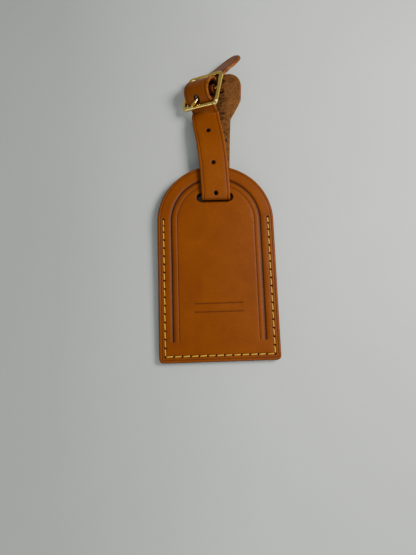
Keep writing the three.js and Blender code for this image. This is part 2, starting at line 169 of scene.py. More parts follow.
def catmull_rom(points, closed=False, centripetal=True):
    """A smooth curve through the points, as closely spaced samples."""
    points = np.asarray(points, float)
    count = len(points)
    if closed:
        padded = np.concatenate([points[-1:], points, points[:2]])
        spans = count
    else:
        before = 2 * points[0] - points[1]
        after = 2 * points[-1] - points[-2]
        padded = np.concatenate([before[None], points, after[None]])
        spans = count - 1
    samples = []
    for i in range(spans):
        p0, p1, p2, p3 = padded[i:i + 4]
        if centripetal:
            d0, d1, d2 = [
                max(np.linalg.norm(b - a) ** 0.5, 1e-4) for a, b in ((p0, p1), (p1, p2), (p2, p3))]
            start = ((p1 - p0) / d0 - (p2 - p0) / (d0 + d1) + (p2 - p1) / d1) * d1
            end = ((p2 - p1) / d1 - (p3 - p1) / (d1 + d2) + (p3 - p2) / d2) * d1
        else:
            start = 0.5 * (p2 - p0)
            end = 0.5 * (p3 - p1)
        t = np.linspace(0, 1, SAMPLES_PER_SPAN, endpoint=False)[:, None]
        quadratic = -3 * p1 + 3 * p2 - 2 * start - end
        cubic = 2 * p1 - 2 * p2 + start + end
        samples.append(p1 + start * t + quadratic * t ** 2 + cubic * t ** 3)
    samples.append(padded[spans + 1][None])
    return np.concatenate(samples)


class Band:
    """A strip's middle line with its directions across, along and out at each distance."""

    def __init__(self, points, across, closed=False):
        self.points = catmull_rom(points, closed)
        wanted = catmull_rom(across, closed, centripetal=False)
        steps = np.linalg.norm(np.diff(self.points, axis=0), axis=1)
        self.distance = np.concatenate([[0], np.cumsum(steps)])
        self.length = self.distance[-1]
        along = np.gradient(self.points, self.distance, axis=0)
        if closed:
            along[0] = along[-1] = along[0] + along[-1]
        self.along = along / np.linalg.norm(along, axis=1, keepdims=True)
        across = wanted - self.along * np.sum(wanted * self.along, axis=1, keepdims=True)
        self.across = across / np.linalg.norm(across, axis=1, keepdims=True)
        self.out = np.cross(self.across, self.along)

    def place(self, u, v, w):
        """Places at distance u along the band, v across it and w out of it."""
        def at(values):
            return np.stack([np.interp(u, self.distance, values[:, k]) for k in range(3)], axis=-1)
        return at(self.points) + at(self.across) * v[:, None] + at(self.out) * w[:, None]

    def distance_to(self, target):
        """The distance along the band of its middle line's nearest place to a point."""
        gaps = np.linalg.norm(self.points - np.asarray(target), axis=1)
        return self.distance[np.argmin(gaps)]


# ---------------------------------------------------------------- sheets of leather

def smooth_step(value):
    value = np.clip(value, 0, 1)
    return value * value * (3 - 2 * value)


def groove(distance, half_width):
    """1 in the middle of a pressed line, falling to 0 beyond its half width."""
    return np.exp(-(distance / half_width) ** 2)


def new_piece(name, points, faces, body, material):
    """A smooth-shaded mesh object from places in millimetres, riding on a body."""
    mesh = bpy.data.meshes.new(name)
    mesh.from_pydata(to_frame(points).tolist(), [], [list(face) for face in faces])
    mesh.shade_smooth()
    mesh.materials.append(material)
    piece = bpy.data.objects.new(name, mesh)
    bpy.context.scene.collection.objects.link(piece)
    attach(piece, body)
    return piece


def set_attribute(piece, name, values):
    attribute = piece.data.attributes.new(name, "FLOAT", "POINT")
    attribute.data.foreach_set("value", np.asarray(values, np.float32))


def set_coordinates(piece, name, u, v, w):
    attribute = piece.data.attributes.new(name, "FLOAT_VECTOR", "POINT")
    values = np.stack([u, v, w], axis=-1)
    attribute.data.foreach_set("vector", values.astype(np.float32).ravel())


def triangulate(loops, inner_points, inset):
    """A flat mesh of the region inside the loops, using the inner points that lie in it.

    inset(u, v) is the distance inside the region's edge, negative outside it.
    """
    points, edges = [], []
    for loop in loops:
        start = len(points)
        points.extend(loop)
        edges.extend((start + i, start + (i + 1) % len(loop)) for i in range(len(loop)))
    inner = np.asarray(inner_points, float)
    inner = inner[inset(inner[:, 0], inner[:, 1]) > 0.06]
    keys = np.unique(np.round(inner / 0.05).astype(int), axis=0, return_index=True)[1]
    points.extend(map(tuple, inner[np.sort(keys)]))
    flat, _, triangles, *_ = delaunay_2d_cdt([Vector(p) for p in points], edges, [], 0, 1e-5)
    flat = np.array([tuple(p) for p in flat])
    triangles = np.array([tuple(t) for t in triangles])
    middles = flat[triangles].mean(axis=1)
    return flat, triangles[inset(middles[:, 0], middles[:, 1]) > 0]


def leather_piece(name, body, material, loops, inner_points, inset, place,
                  top, bottom, relief_top, relief_bottom, darkness, darkness_below, flesh=(0, 1)):
    """A sheet of leather with a top face, a bottom face and round walls between them.

    top and bottom are the faces' heights. relief_top and relief_bottom are how far each face
    is pressed in. darkness and darkness_below darken the two faces, mostly with painted shade.
    flesh says for the top and the bottom face whether it is the rough side.
    """
    flat, triangles = triangulate(loops, inner_points, inset)
    count = len(flat)
    u, v = flat[:, 0], flat[:, 1]

    sides = np.concatenate([triangles[:, [0, 1]], triangles[:, [1, 2]], triangles[:, [2, 0]]])
    used = {(a, b) for a, b in sides.tolist()}
    rim = [(a, b) for a, b in used if (b, a) not in used]
    normal = np.zeros((count, 2))
    for a, b in rim:
        step = flat[b] - flat[a]
        outward = np.array([step[1], -step[0]]) / max(np.linalg.norm(step), 1e-9)
        normal[a] += outward
        normal[b] += outward
    rim_points = sorted({a for a, _ in rim})
    row = {point: i for i, point in enumerate(rim_points)}
    normal = normal[rim_points]
    normal /= np.maximum(np.linalg.norm(normal, axis=1, keepdims=True), 1e-9)

    high = top - relief_top(u, v)
    low = bottom + relief_bottom(u, v)
    rim_high, rim_low = high[rim_points], low[rim_points]
    plan_u, plan_v, heights = [u, u], [v, v], [high, low]
    wall_rows = ((0.8, 0.09), (0.5, 0.13), (0.2, 0.09))  # height share, bulge
    for share, bulge in wall_rows:
        plan_u.append(u[rim_points] + bulge * normal[:, 0])
        plan_v.append(v[rim_points] + bulge * normal[:, 1])
        heights.append(rim_low + share * (rim_high - rim_low))
    plan_u, plan_v, heights = map(np.concatenate, (plan_u, plan_v, heights))

    faces = [tuple(t) for t in triangles]
    faces += [(t[2] + count, t[1] + count, t[0] + count) for t in triangles]
    rows = len(rim_points)
    for a, b in rim:
        levels = [(a, b)]
        levels += [(2 * count + k * rows + row[a], 2 * count + k * rows + row[b]) for k in range(3)]
        levels += [(a + count, b + count)]
        for (a_high, b_high), (a_low, b_low) in zip(levels, levels[1:]):
            faces.append((b_high, a_high, a_low, b_low))

    piece = new_piece(name, place(plan_u, plan_v, heights), faces, body, material)
    walls = len(wall_rows) * rows
    edge = smooth_step(1 - np.abs(inset(u, v)) / 0.55)
    set_attribute(piece, "edge", np.concatenate([edge, edge, np.ones(walls)]))
    set_attribute(piece, "flesh", np.concatenate(
        [np.full(count, flesh[0]), np.full(count, flesh[1]), np.full(walls, 0.5)]))
    wall_darkness = darkness(plan_u[2 * count:], plan_v[2 * count:])
    set_attribute(piece, "painted_shade_and_pits", np.concatenate(
        [darkness(u, v), darkness_below(u, v), wall_darkness]))
    set_coordinates(piece, "plan", plan_u, plan_v, heights)
    return piece


def circle(u, v, radius, count):
    angles = np.linspace(0, 2 * math.pi, count, endpoint=False)
    return [(u + radius * math.cos(a), v + radius * math.sin(a)) for a in angles]


def stadium(u, v, width, length, count):
    """A round-ended outline: width is along v and length along u."""
    radius = min(width, length) / 2
    points = []
    for angle in np.linspace(0, 2 * math.pi, count, endpoint=False):
        side_u = math.copysign(max(length / 2 - radius, 0), math.cos(angle))
        side_v = math.copysign(max(width / 2 - radius, 0), math.sin(angle))
        points.append((u + side_u + radius * math.cos(angle),
                       v + side_v + radius * math.sin(angle)))
    return points


def stadium_distance(u, v, centre_u, centre_v, width, length):
    """How far a place is outside a round-ended outline, negative inside it."""
    radius = min(width, length) / 2
    du = np.maximum(np.abs(u - centre_u) - (length / 2 - radius), 0)
    dv = np.maximum(np.abs(v - centre_v) - (width / 2 - radius), 0)
    return np.hypot(du, dv) - radius


# ---------------------------------------------------------------- materials

def linear(red, green, blue):
    """A colour from its 0 to 255 display values."""
    def channel(value):
        value /= 255
        return value / 12.92 if value <= 0.04045 else ((value + 0.055) / 1.055) ** 2.4
    return (channel(red), channel(green), channel(blue), 1)


class Shader:
    """A small helper that adds nodes to a material and links them."""

    def __init__(self, name):
        self.material = bpy.data.materials.new(name)
        self.material.use_nodes = True
        self.tree = self.material.node_tree
        self.surface = self.tree.nodes["Principled BSDF"]

    def add(self, kind, settings=None, **inputs):
        node = self.tree.nodes.new(kind)
        for key, value in (settings or {}).items():
            setattr(node, key, value)
        for key, value in inputs.items():
            self.set(node.inputs[key.replace("_", " ")], value)
        return node

    def set(self, socket, value):
        if isinstance(value, bpy.types.NodeSocket):
            self.tree.links.new(value, socket)
        else:
            socket.default_value = value

    def attribute(self, name, output="Fac"):
        return self.add("ShaderNodeAttribute", {"attribute_name": name}).outputs[output]

    def noise(self, scale, vector, detail=4, roughness=0.55, distortion=0):
        node = self.add("ShaderNodeTexNoise", Vector=vector, Scale=scale, Detail=detail,
                        Roughness=roughness, Distortion=distortion)
        return node.outputs["Fac"]

    def remap(self, value, low, high, to_low=0, to_high=1):
        node = self.add("ShaderNodeMapRange", {"clamp": True}, Value=value, From_Min=low,
                        From_Max=high, To_Min=to_low, To_Max=to_high)
        return node.outputs["Result"]

    def math(self, operation, first, second=0.0):
        node = self.add("ShaderNodeMath", {"operation": operation})
        self.set(node.inputs[0], first)
        self.set(node.inputs[1], second)
        return node.outputs[0]

    def mix(self, share, first, second, blend="MIX"):
        node = self.add("ShaderNodeMix", {"data_type": "RGBA", "blend_type": blend})
        self.set(node.inputs["Factor"], share)
        self.set(node.inputs[6], first)
        self.set(node.inputs[7], second)
        return node.outputs[2]

    def between(self, share, first, second):
        node = self.add("ShaderNodeMix", {"data_type": "FLOAT"})
        self.set(node.inputs["Factor"], share)
        self.set(node.inputs[2], first)
        self.set(node.inputs[3], second)
        return node.outputs[0]

    def bump(self, height, strength, distance, normal=None):
        node = self.add("ShaderNodeBump", Height=height, Strength=strength, Distance=distance)
        if normal is not None:
            self.set(node.inputs["Normal"], normal)
        return node.outputs["Normal"]

    def finish(self, **inputs):
        for key, value in inputs.items():
            self.set(self.surface.inputs[key.replace("_", " ")], value)
        return self.material


def leather(name, light, deep, edge_colour, deep_tone_and_shade_colour, flesh_light, flesh_deep):
    """Waxed leather: a smooth grain face, a rough flesh face, burnished edges and painted shade in
    its grooves and holes.
    """
    s = Shader(name)
    plan = s.attribute("plan", "Vector")
    is_flesh = s.remap(s.attribute("flesh"), 0.45, 0.9)
    edge = s.attribute("edge")
    painted_shade_and_pits = s.attribute("painted_shade_and_pits")

    blotches = s.remap(s.noise(0.07, plan, 5, 0.6, 0.4), 0.25, 0.75)
    mottle = s.remap(s.noise(0.8, plan, 5, 0.75), 0.34, 0.66)
    grain = s.mix(blotches, light, deep)
    grain = s.mix(s.math("MULTIPLY", mottle, 0.65), grain, deep)
    specks = s.remap(s.noise(2.4, plan, 3, 0.8), 0.62, 0.78)
    grain = s.mix(s.math("MULTIPLY", specks, 0.4), grain, deep_tone_and_shade_colour)

    fibres = s.noise(1.4, plan, 8, 0.8, 1.2)
    pits = s.remap(s.noise(2.1, plan, 6, 0.75), 0.42, 0.6)
    rough = s.mix(s.remap(fibres, 0.35, 0.65), flesh_deep, flesh_light)
    rough = s.mix(s.math("MULTIPLY", pits, 0.45), rough, flesh_deep)

    colour = s.mix(is_flesh, grain, rough)
    streaks = s.noise(0.5, plan, 6, 0.7, 0.6)
    edge_tone = s.mix(s.remap(streaks, 0.3, 0.7), edge_colour, deep_tone_and_shade_colour)
    colour = s.mix(s.remap(edge, 0.35, 0.95), colour, edge_tone)
    # painted shade in grooves, holes, creases and beside the buckle, along with dark pits on the
    # rough side
    colour = s.mix(painted_shade_and_pits, colour, deep_tone_and_shade_colour)

    pores = s.add("ShaderNodeTexVoronoi", {"feature": "SMOOTH_F1"}, Vector=plan, Scale=2.6,
                  Smoothness=0.6, Randomness=1.0).outputs["Distance"]
    fine = s.math("ADD", pores, s.noise(1.1, plan, 5, 0.6))
    depth = s.remap(is_flesh, 0, 1, 0.1, 1)
    relief = s.between(is_flesh, fine, fibres)
    normal = s.bump(relief, depth, 0.00035)
    roughness = s.between(is_flesh, s.remap(mottle, 0, 1, 0.4, 0.52), 0.95)
    return s.finish(Base_Color=colour, Roughness=roughness, Normal=normal,
                    Specular_IOR_Level=0.13)


def brass():
    s = Shader("brass_polished")
    place = s.add("ShaderNodeTexCoord").outputs["Object"]
    tarnish = s.remap(s.noise(180, place, 5, 0.6), 0.35, 0.7)
    colour = s.mix(tarnish, linear(238, 206, 112), linear(212, 174, 78))
    scratches = s.noise(2600, place, 4, 0.7)
    normal = s.bump(scratches, 0.008, 0.0001)
    roughness = s.remap(s.noise(700, place, 3), 0.3, 0.7, 0.1, 0.18)
    return s.finish(Base_Color=colour, Metallic=1.0, Roughness=roughness, Normal=normal)


def thread():
    s = Shader("thread_waxed")
    place = s.attribute("plan", "Vector")
    twist = s.add("ShaderNodeTexWave", {"bands_direction": "DIAGONAL"}, Vector=place, Scale=1.6,
                  Distortion=0.6).outputs["Fac"]
    worn = s.remap(s.noise(0.4, place, 4), 0.35, 0.7)
    colour = s.mix(worn, linear(232, 184, 60), linear(196, 140, 40))
    # painted shade in the grooves of the thread's twist
    colour = s.mix(s.math("MULTIPLY", twist, 0.3), colour, linear(120, 74, 20))
    return s.finish(Base_Color=colour, Roughness=0.6, Normal=s.bump(twist, 0.5, 0.0001))


def card_stock():
    s = Shader("card_stock")
    place = s.add("ShaderNodeTexCoord").outputs["Object"]
    tone = s.noise(900, place, 5)
    colour = s.mix(s.remap(tone, 0.3, 0.7), linear(236, 230, 214), linear(226, 218, 198))
    return s.finish(Base_Color=colour, Roughness=0.9, Normal=s.bump(tone, 0.2, 0.0001))


TABLE_SHADE_ENDS = (-0.09, 0.02)  # metres across the table: full shade and none
TABLE_SHADE_SHARE = 0.45


def table_top():
    s = Shader("table_top")
    place = s.add("ShaderNodeTexCoord").outputs["Object"]
    tone = s.remap(s.noise(9, place, 5, 0.6), 0.3, 0.7)
    grain = s.remap(s.noise(700, place, 6, 0.8), 0.3, 0.7)
    colour = s.mix(tone, linear(196, 200, 193), linear(204, 208, 202))
    colour = s.mix(s.math("MULTIPLY", grain, 0.5), colour, linear(188, 191, 184))
    # a painted fall-off towards the left, besides the light's own
    place_x = s.add("ShaderNodeSeparateXYZ", Vector=place).outputs["X"]
    shade = s.remap(place_x, *TABLE_SHADE_ENDS, TABLE_SHADE_SHARE, 0)
    colour = s.mix(shade, colour, linear(140, 143, 136))
    return s.finish(Base_Color=colour, Roughness=0.7)


panel_leather = leather(
    "panel_leather", linear(133, 68, 12), linear(113, 54, 7), linear(92, 46, 14),
    linear(30, 12, 4), linear(128, 80, 40), linear(80, 46, 20))
strap_leather = leather(
    "strap_leather", linear(137, 71, 15), linear(115, 57, 9), linear(156, 90, 34),
    linear(34, 14, 4), linear(172, 114, 64), linear(76, 46, 22))
chape_leather = leather(
    "chape_leather", linear(92, 44, 10), linear(70, 32, 6), linear(96, 50, 16),
    linear(26, 10, 3), linear(90, 54, 26), linear(34, 18, 7))
brass_polished = brass()
thread_waxed = thread()

# ---------------------------------------------------------------- the tag's panels

def arch_inset(x, y):
    """Distance inside the tag's sides and arch, as if the sides ran on past the bottom."""
    return np.where(y > SPRING_LINE, TAG_HALF_WIDTH - np.hypot(x, y - SPRING_LINE),
                    TAG_HALF_WIDTH - np.abs(x))


def slot_distance(x, y):
    return stadium_distance(y, x, SLOT_CENTRE_Y, 0, 2 * SLOT_HALF_WIDTH, 2 * SLOT_RADIUS)


def outline_inset(x, y):
    """Distance inside the tag's outline."""
    inset = np.minimum(arch_inset(x, y), y)
    corner_x = np.abs(x) - (TAG_HALF_WIDTH - CORNER_RADIUS)
    corner_y = CORNER_RADIUS - y
    in_corner = (corner_x > 0) & (corner_y > 0)
    return np.where(in_corner, CORNER_RADIUS - np.hypot(corner_x, corner_y), inset)


def tag_inset(x, y):
    return np.minimum(outline_inset(x, y), slot_distance(x, y))


def tag_path(inset, low, step):
    """Points along the sides and the arch at an inset, from a height up and round and down."""
    half = TAG_HALF_WIDTH - inset
    side = np.arange(low, SPRING_LINE, step)
    points = [(half, y) for y in side]
    arc = np.linspace(0, math.pi, max(int(math.pi * half / step), 8))
    points += [(half * math.cos(a), SPRING_LINE + half * math.sin(a)) for a in arc]
    points += [(-half, y) for y in side[::-1]]
    return points


def outline_loop(inset, step):
    """The tag's whole outline at an inset."""
    radius = CORNER_RADIUS - min(inset, CORNER_RADIUS - 0.3)
    half = TAG_HALF_WIDTH - inset
    points = tag_path(inset, inset + radius + step, step)
    arc = np.linspace(0, math.pi / 2, 9)
    left, right = -half + radius, half - radius
    low = inset + radius
    points += [(left - radius * math.cos(a), low - radius * math.sin(a)) for a in arc]
    points += [(x, inset) for x in np.arange(left + step, right - step / 2, step)]
    points += [(right + radius * math.sin(a), low - radius * math.cos(a)) for a in arc]
    return points


def seam_holes():
    """The needle holes, down the left side, along the bottom and up the right side."""
    side_x = TAG_HALF_WIDTH - SEAM_INSET
    heights = [SEAM_TOP_Y]
    for stitch in SHORT_STITCHES:
        heights.append(heights[-1] - stitch)
    long_run = np.linspace(heights[-1], SEAM_INSET, SIDE_STITCHES + 1)
    heights += list(long_run[1:])
    bottom = np.linspace(-side_x, side_x, BOTTOM_STITCHES + 1)[1:-1]
    holes = [(-side_x, y) for y in heights]
    holes += [(x, SEAM_INSET) for x in bottom]
    holes += [(side_x, y) for y in heights[::-1]]
    return holes


HOLES = seam_holes()


def near_hole(x, y, radius):
    """1 in the middle of a needle hole, falling to 0 outside it."""
    centres = np.array(HOLES)
    nearest = np.min(np.hypot(x[:, None] - centres[:, 0], y[:, None] - centres[:, 1]), axis=1)
    return groove(nearest, radius)


def seam_line(x, y):
    inset = outline_inset(x, y)
    return groove(inset - SEAM_INSET, 0.6) * smooth_step((SEAM_TOP_Y + 0.8 - y) / 0.8)


def rounded_edge(inset, depth=0.42, width=0.75):
    return depth * np.clip(1 - inset / width, 0, 1) ** 2


def border(x, y, widen=1.0):
    """The depth of the embossed double border."""
    inset = arch_inset(x, y)
    on = smooth_step((y - BORDER_END_Y) / 0.5)
    return sum(depth * groove(inset - at, widen * half) for at, depth, half in BORDER_GROOVES) * on


def rules(x, y):
    depth = np.zeros_like(x)
    for height, half_length in RULES:
        across = groove(y - height, RULE_HALF_WIDTH)
        depth = np.maximum(depth, across * smooth_step((half_length - np.abs(x)) / 0.5))
    return depth


def front_relief(x, y):
    inset = outline_inset(x, y)
    return (rounded_edge(inset) + rounded_edge(slot_distance(x, y), 0.3, 0.6)
            + 0.16 * groove(inset - EDGE_CREASE, 0.22) + 0.16 * seam_line(x, y)
            + 0.75 * near_hole(x, y, 0.42) + border(x, y) + 0.16 * rules(x, y))


def front_painted_shade(x, y):
    # painted shade in the edge crease, needle holes, border grooves, rules and seam line, and round
    # the slot
    inset = outline_inset(x, y)
    groove_shade = (0.5 * groove(inset - EDGE_CREASE, 0.24) + 2.2 * near_hole(x, y, 0.5)
               + 1.9 * border(x, y, 0.9) + 0.6 * rules(x, y) + 0.15 * seam_line(x, y))
    return np.clip(groove_shade + slot_painted_shade(x, y), 0, 1)


def pocket_relief(x, y):
    ends = np.minimum(y - POCKET_LOW_Y, POCKET_HIGH_Y - y)
    inside = np.minimum(POCKET_HALF_WIDTH - np.abs(x), ends)
    return POCKET_DEPTH * smooth_step(inside / 0.3 + 1) + rounded_edge(tag_inset(x, y), 0.05, 0.3)


def back_relief(x, y):
    inset = outline_inset(x, y)
    return (rounded_edge(inset) + rounded_edge(slot_distance(x, y), 0.3, 0.6)
            + 0.16 * seam_line(x, y) + 0.5 * near_hole(x, y, 0.36))


def join_relief(x, y):
    return rounded_edge(tag_inset(x, y), 0.05, 0.3)


def no_darkness(x, y):
    return np.zeros_like(x)


def slot_painted_shade(x, y):
    """The slot's rim, darkened with painted shade for the shade deep inside the slot."""
    return 0.95 * smooth_step(1 - slot_distance(x, y) / 0.35)


def panel_points():
    """Where the panels' meshes need points: along edges, creases, grooves, seams and rules."""
    points = []
    for inset in (0.1, 0.25, 0.45, 0.75, 1.1, 1.3, 1.4, 1.5, 1.6, 1.7, 1.9,
                  2.4, 2.8, 3.3, 3.8, 4.3):
        points += outline_loop(inset, 0.8)
    for at, _, half in BORDER_GROOVES:
        for share in (-1.6, -1, -0.6, -0.3, 0, 0.3, 0.6, 1, 1.6):
            points += tag_path(at + share * half, BORDER_END_Y - 1, 0.8)
    for y in BORDER_END_Y + np.array([-0.2, 0, 0.15, 0.3, 0.5, 0.8]):
        points += [(s * (TAG_HALF_WIDTH - i), y) for s in (-1, 1) for i in np.arange(6.4, 12, 0.2)]
    for height, half_length in RULES:
        for share in (-2, -1, -0.5, 0, 0.5, 1, 2):
            y = height + share * RULE_HALF_WIDTH
            points += [(x, y) for x in np.arange(-half_length - 0.4, half_length + 0.5, 0.4)]
    for x, y in HOLES:
        points.append((x, y))
        for radius in (0.2, 0.4, 0.6, 0.85):
            points += circle(x, y, radius, 10)
    for grow in (0.1, 0.25, 0.45, 0.7, 1.1):
        points += slot_loop(grow)
    for grow in (-0.35, 0, 0.35):
        x, low, high = POCKET_HALF_WIDTH + grow, POCKET_LOW_Y - grow, POCKET_HIGH_Y + grow
        points += [(s * x, y) for s in (-1, 1) for y in np.arange(low, high, 1.5)]
        points += [(k, y) for y in (low, high) for k in np.arange(-x, x, 1.5)]
    points += [(x, y) for x in np.arange(-32, 32.1, 1.6) for y in np.arange(1, 110, 1.6)]
    return points


def slot_loop(grow=0.0):
    loop = stadium(SLOT_CENTRE_Y, 0, 2 * (SLOT_HALF_WIDTH + grow), 2 * (SLOT_RADIUS + grow), 48)
    return [(v, u) for u, v in loop]


panel_loops = [outline_loop(0, 0.8), slot_loop()]
panel_mesh_points = panel_points()

front_panel = leather_piece(
    "front_panel_detailed", "tag", panel_leather, panel_loops, panel_mesh_points,
    tag_inset, on_tag, TAG_FRONT_Z, JOIN_Z, front_relief, pocket_relief, front_painted_shade,
    no_darkness,
    flesh=(0, 1))
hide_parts("front_panel")

back_panel = leather_piece(
    "back_panel_detailed", "tag", panel_leather, panel_loops, panel_mesh_points, tag_inset,
    on_tag, JOIN_Z, 0, join_relief, back_relief, slot_painted_shade, no_darkness, flesh=(1, 0))
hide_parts("back_panel")

# ---------------------------------------------------------------- tubes

def tube(path, across, out, half_widths, half_heights, sides=12, power=2.0, closed=False):
    """Points and faces of a tube with a rounded section along a path."""
    count = len(path)
    angles = np.linspace(0, 2 * math.pi, sides, endpoint=False)
    shape_x = np.sign(np.cos(angles)) * np.abs(np.cos(angles)) ** (2 / power)
    shape_y = np.sign(np.sin(angles)) * np.abs(np.sin(angles)) ** (2 / power)
    points = (path[:, None] + across[:, None] * (half_widths[:, None] * shape_x)[..., None]
              + out[:, None] * (half_heights[:, None] * shape_y)[..., None]).reshape(-1, 3)
    faces = []
    for i in range(count if closed else count - 1):
        here, after = i * sides, ((i + 1) % count) * sides
        for k in range(sides):
            n = (k + 1) % sides
            faces.append((here + k, here + n, after + n, after + k))
    if not closed:
        faces.append(tuple(range(sides))[::-1])
        faces.append(tuple(range((count - 1) * sides, count * sides)))
    return points, faces


def joined(parts):
    """Several meshes' points and faces as one mesh's."""
    points, faces, start = [], [], 0
    for part_points, part_faces in parts:
        points.append(part_points)
        faces += [tuple(start + i for i in face) for face in part_faces]
        start += len(part_points)
    return np.concatenate(points), faces


# ---------------------------------------------------------------- the seam

STITCH_PROFILE = ((0.09, -0.5), (0.14, -0.15), (0.2, 0.08), (0.32, 0.18), (0.5, 0.22),
                  (0.68, 0.18), (0.8, 0.08), (0.86, -0.15), (0.91, -0.5))  # share, height
STITCH_SLANT = 0.13


def seam(name, face_z, upward, node):
    """One face's stitches, each dipping into a needle hole at its ends."""
    parts, plans = [], []
    for number, (start, end) in enumerate(zip(HOLES, HOLES[1:])):
        start, end = np.array(start), np.array(end)
        step = end - start
        length = np.linalg.norm(step)
        sideways = np.array([-step[1], step[0]]) / length
        share = np.array([s for s, _ in STITCH_PROFILE])
        height = np.array([h for _, h in STITCH_PROFILE])
        slant = STITCH_SLANT * (2 * share - 1) * upward
        flat = start + share[:, None] * step + slant[:, None] * sideways
        path = on_tag(flat[:, 0], flat[:, 1], face_z + upward * (height - 0.08))
        across = np.tile([sideways[0], sideways[1], 0.0], (len(path), 1))
        along = np.gradient(path, axis=0)
        along /= np.linalg.norm(along, axis=1, keepdims=True)
        out = np.cross(across, along)
        thickness = THREAD_RADIUS * STITCH_TAPER
        points, faces = tube(path, across, out, thickness, 0.8 * thickness, 10)
        parts.append((points, faces))
        plans.append(np.repeat(share * length + 7.3 * number, 10))
    points, faces = joined(parts)
    piece = new_piece(name, points, faces, "tag", thread_waxed)
    along = np.concatenate(plans)
    set_coordinates(piece, "plan", along, points[:, 0] % 1, points[:, 2])
    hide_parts(node)
    return piece


seam("needle_stitches", TAG_FRONT_Z, 1, "needle_thread")
seam("bobbin_stitches", 0.0, -1, "bobbin_thread")

# ---------------------------------------------------------------- the strap

def leaning(degrees):
    angle = math.radians(degrees)
    return (math.cos(angle), 0, math.sin(angle))


def prong_point(along, out):
    return at_buckle(PRONG_OFFSET + PRONG_SKEW * along, along, out)


def strap_route():
    """The strap's middle line from the pad's end to the tip, with its direction across."""
    route = [((x, y, z), leaning(lean)) for x, y, z, lean in (
        # the pad, which leans with the buckle, and the back arm under the tag's arch
        (5.6, 167, 6.2, 21), (5.1, 161, 6.05, 21), (4.6, 155.5, 5.6, 20), (4.0, 150, 4.8, 15),
        (3.3, 142.5, 3.0, 8), (2.6, 133, 1.3, 1), (1.9, 120, 0.9, 0), (1.2, 106, 0.9, 0),
        (0.7, 97, 0.9, 0))]
    # the bend, up through the slot
    for turn in range(0, 181, 30):
        angle = math.radians(turn)
        y = BEND_CENTRE[1] - BEND_RADIUS * math.sin(angle)
        z = BEND_CENTRE[2] - BEND_RADIUS * math.cos(angle)
        route.append(((BEND_CENTRE[0], y, z), leaning(0)))
    # the front arm
    route += [((x, y, z), leaning(lean)) for x, y, z, lean in (
        (0.4, 100, 7.6, 0), (0, 109, 8.2, 0), (-0.8, 119, 8.65, 1), (-2.1, 129, 8.5, 4),
        (-3.3, 136, 7.95, 8), (-3.8, 140.6, 7.5, 14))]
    # under the buckle's near bar, over its centre bar and under its far bar
    route += [(at_buckle(*place), BUCKLE_ACROSS) for place in (
        (1.0, -9.8, -3.7), (0.4, -8.3, -2.2), (-0.3, -7.2, -0.3), (-0.9, -5.8, 1.9),
        (-1.3, -2.6, 4.3), (-1.4, 1.5, 4.7), (-0.9, 5.2, 3.0), (-0.2, 6.9, 0.5),
        (0.4, 7.3, -1.3), (1.0, 8.5, -2.8), (1.8, 10.6, -3.1))]
    # the free tip
    route += [((x, y, z), leaning(lean)) for x, y, z, lean in (
        (4.9, 167.7, 8.7, 36), (11, 173, 8.7, 34), (17.2, 178, 9.2, 32))]
    return [np.array(point) for point, _ in route], [np.array(across) for _, across in route]


strap_band = Band(*strap_route())
bend_top = strap_band.distance_to((BEND_CENTRE[0], BEND_CENTRE[1], BEND_CENTRE[2] + BEND_RADIUS))
prong_hole_distance = strap_band.distance_to(prong_point(-6, 1.75))


def strap_half_width(u):
    inset = np.clip(PAD_CORNER_RADIUS - u, 0, PAD_CORNER_RADIUS)
    round_end = PAD_WIDTH / 2 - PAD_CORNER_RADIUS + np.sqrt(PAD_CORNER_RADIUS ** 2 - inset ** 2)
    share = np.clip((u - PAD_STRAIGHT_END) / (PAD_FLARE_END - PAD_STRAIGHT_END), 0, 1)
    flare = PAD_WIDTH / 2 + share * (STRAP_WIDTH - PAD_WIDTH) / 2
    from_tip = np.clip(strap_band.length - u, 0, None)
    share = np.clip(from_tip / TIP_TAPER, 0, 1)
    taper = (TIP_END_WIDTH + (STRAP_WIDTH - TIP_END_WIDTH) * np.sqrt(share * (2 - share))) / 2
    rounding = np.clip(from_tip / TIP_ROUNDING, 0, 1)
    taper = taper * np.sqrt(rounding * (2 - rounding))
    return np.where(from_tip < TIP_TAPER, taper, np.minimum(round_end, flare))


def strap_holes():
    """Each hole's centre along and across the strap, and its width and length."""
    holes = [(bend_top + distance, 0, 2 * HOLE_RADIUS, 2 * HOLE_RADIUS) for distance in SPARE_HOLES]
    holes.append((prong_hole_distance, PRONG_HOLE_OFFSET, *PRONG_HOLE))
    holes += [(distance, SLIT_OFFSET, *SLIT_SIZE) for distance in SLIT_DISTANCES]
    return holes


STRAP_HOLES = strap_holes()


def strap_side_inset(u, v):
    """Distance inside the strap's outline."""
    steps = np.arange(-4.0, 4.01, 0.25)
    gaps = [np.hypot(np.maximum(strap_half_width(u + s) - np.abs(v), 0), s) for s in steps]
    inside = np.min(gaps, axis=0)
    outside = strap_half_width(u) - np.abs(v)
    ends = np.minimum(u, strap_band.length - u)
    return np.where(outside > 0, np.minimum(inside, ends), outside)


def hole_distance(u, v):
    return np.min([stadium_distance(u, v, *hole) for hole in STRAP_HOLES], axis=0)


def strap_inset(u, v):
    return np.minimum(strap_side_inset(u, v), hole_distance(u, v))


def strap_crease(u, v):
    return groove(strap_side_inset(u, v) - STRAP_CREASE, 0.2) * smooth_step((u - 30) / 4)


def strap_relief(u, v):
    side = rounded_edge(strap_side_inset(u, v), 0.34, 0.6)
    holes = rounded_edge(hole_distance(u, v), 0.25, 0.5)
    return side + holes + STRAP_CREASE_DEPTH * strap_crease(u, v)


def pad_mark(u, v):
    """1 on the ring of the pad's round dent, falling to 0 away from it."""
    return groove(np.hypot(u - PAD_MARK[0], v - PAD_MARK[1]) - PAD_MARK_RADIUS, PAD_MARK_LINE)


